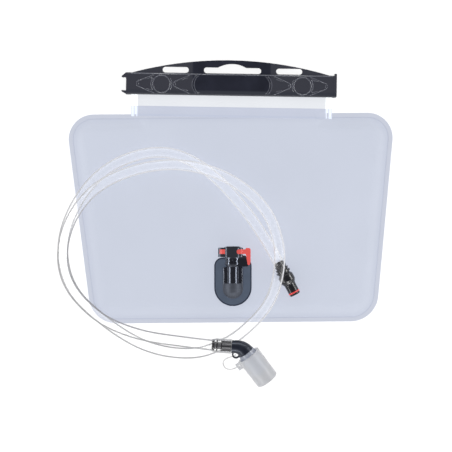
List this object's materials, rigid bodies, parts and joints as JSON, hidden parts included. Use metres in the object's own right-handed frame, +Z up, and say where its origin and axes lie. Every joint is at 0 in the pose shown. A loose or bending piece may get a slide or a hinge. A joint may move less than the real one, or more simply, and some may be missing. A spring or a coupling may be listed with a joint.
{
  "type": "hydration bladder",
  "caption": "Flat wide water bag with a slide-off top closure, a self-sealing hose port and an uncoupled drinking tube with a capped bite valve lying on it in loose turns.",
  "frame": {"origin": "middle in plan of the bag with its closure, on the surface it lies on; the loose tube is left out", "axes": "+X across the bag to the picture's right, +Y up the bag to its closure, +Z up off the surface"},
  "size_m": [0.2941, 0.2853, 0.0282],
  "materials": {
    "film": "satin translucent film",
    "closure": "satin",
    "flange": "satin",
    "port": "gloss",
    "latch": "satin",
    "spring": "bright",
    "seal": "satin",
    "red_seal": "satin",
    "tube": "clear gloss",
    "bite": "satin",
    "clear_plastic": "clear",
    "silicone": "satin translucent",
    "cap": "frosted translucent"
  },
  "bodies": {
    "bladder": {"back_film": "film", "front_film": "film", "back_rail": "closure", "front_rail": "closure", "port_flange": "flange", "port_housing": "port"},
    "closure": {"slide_bar": "closure"},
    "latch": {"release_latch": "latch", "latch_spring": "spring"},
    "valve": {"valve_poppet": "port", "poppet_seal": "seal", "poppet_spring": "spring"},
    "hose": {"drinking_tube": "tube", "quick_plug": "port", "plug_oring": "red_seal", "bite_connector": "bite", "swivel_oring": "seal"},
    "elbow": {"bite_elbow": "bite"},
    "bite": {"valve_core": "clear_plastic", "mouthpiece": "silicone"},
    "cap": {"dust_cap": "cap", "cap_tether": "clear_plastic"}
  },
  "joints": [
    {"name": "closure_slide", "type": "slide", "parent": "bladder", "child": "closure", "axis": [0.9999, -0.0166, 0], "range_m": [0, 0.19]},
    {"name": "latch_press", "type": "slide", "parent": "bladder", "child": "latch", "axis": [-1, 0, 0], "range_m": [0, 0.002], "stiffness_N_per_m": 800, "springref_m": -0.001, "deforming": ["latch_spring"]},
    {"name": "valve_push", "type": "slide", "parent": "bladder", "child": "valve", "axis": [0, -1, 0], "range_m": [0, 0.003], "stiffness_N_per_m": 600, "springref_m": -0.002, "deforming": ["poppet_spring"]},
    {"name": "hose_lift", "type": "slide", "parent": "bladder", "child": "hose", "axis": [0, 0, 1], "range_m": [0, 0.06]},
    {"name": "elbow_swivel", "type": "hinge", "parent": "hose", "child": "elbow", "pos_m": [0.0007, -0.1345, 0.0164], "axis": [-0.9976, 0.0698, 0], "range_deg": [0, 150]},
    {"name": "bite_twist", "type": "hinge", "parent": "elbow", "child": "bite", "pos_m": [0.01321, -0.13939, 0.01554], "axis": [0.5982, -0.7852, -0.1599], "range_deg": [0, 90]},
    {"name": "cap_pull", "type": "slide", "parent": "elbow", "child": "cap", "axis": [0.5982, -0.7852, -0.1599], "range_m": [0, 0.035], "deforming": ["cap_tether"]}
  ]
}
